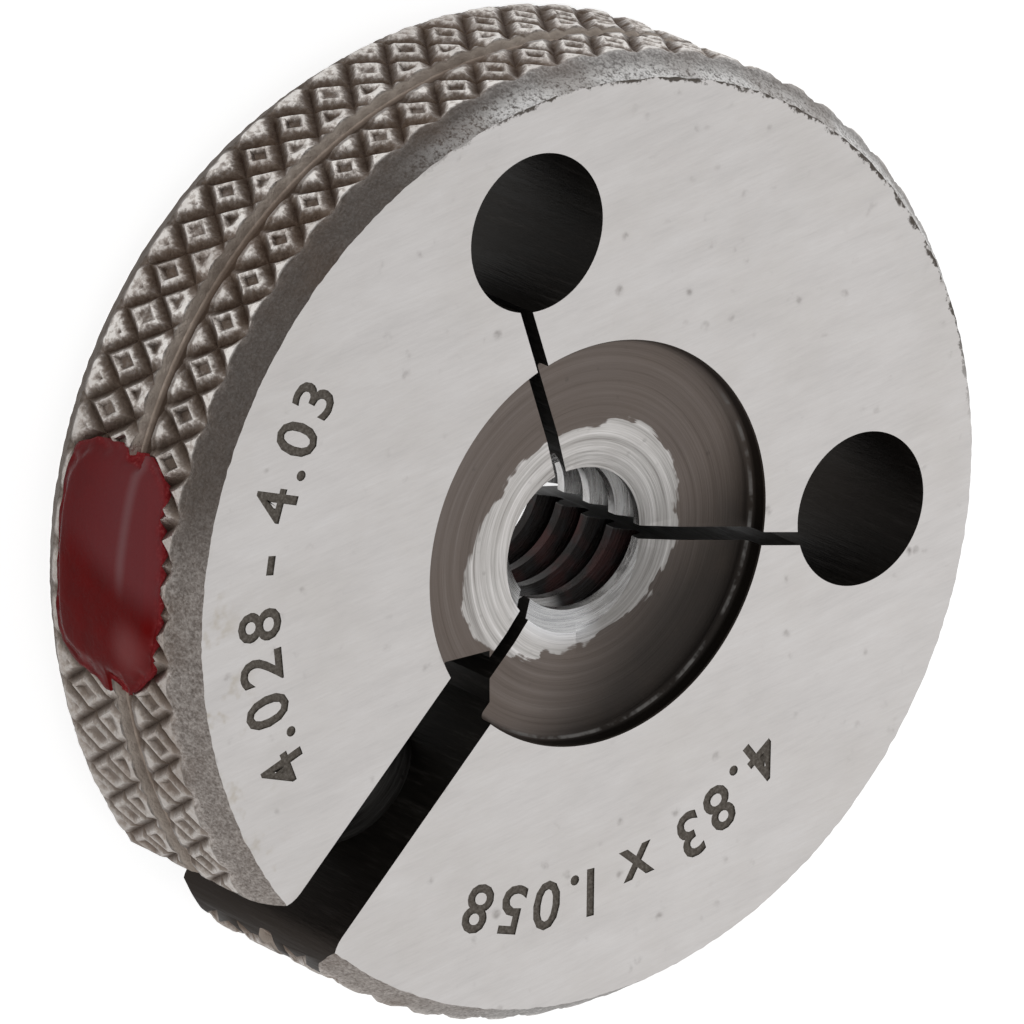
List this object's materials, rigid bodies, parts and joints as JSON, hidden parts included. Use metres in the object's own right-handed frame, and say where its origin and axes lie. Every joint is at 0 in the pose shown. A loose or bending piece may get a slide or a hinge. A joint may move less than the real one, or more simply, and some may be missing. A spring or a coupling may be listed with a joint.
{
  "type": "thread ring gauge",
  "caption": "Adjustable thread ring gauge: a knurled steel ring with a small threaded bore, radial slots ending in round holes, and a wax-sealed setting screw in its rim.",
  "frame": {"origin": "centre of the ring's back face, on the axis of the rim", "axes": "+Z along the bore towards the marked face; the wide slot opens towards -Y; the setting screws lie along X"},
  "size_m": [0.0254, 0.0253, 0.0065],
  "materials": {
    "ring_steel": "ground faces, worn knurl",
    "screw_steel": "ground and turned",
    "sealing_wax": "glossy, smeared edge"
  },
  "bodies": {
    "root": {"ring_body": "ring_steel", "adjusting_sleeve": "screw_steel", "adjusting_screw": "screw_steel", "locking_screw": "screw_steel", "wax_seal": "sealing_wax"}
  },
  "joints": []
}
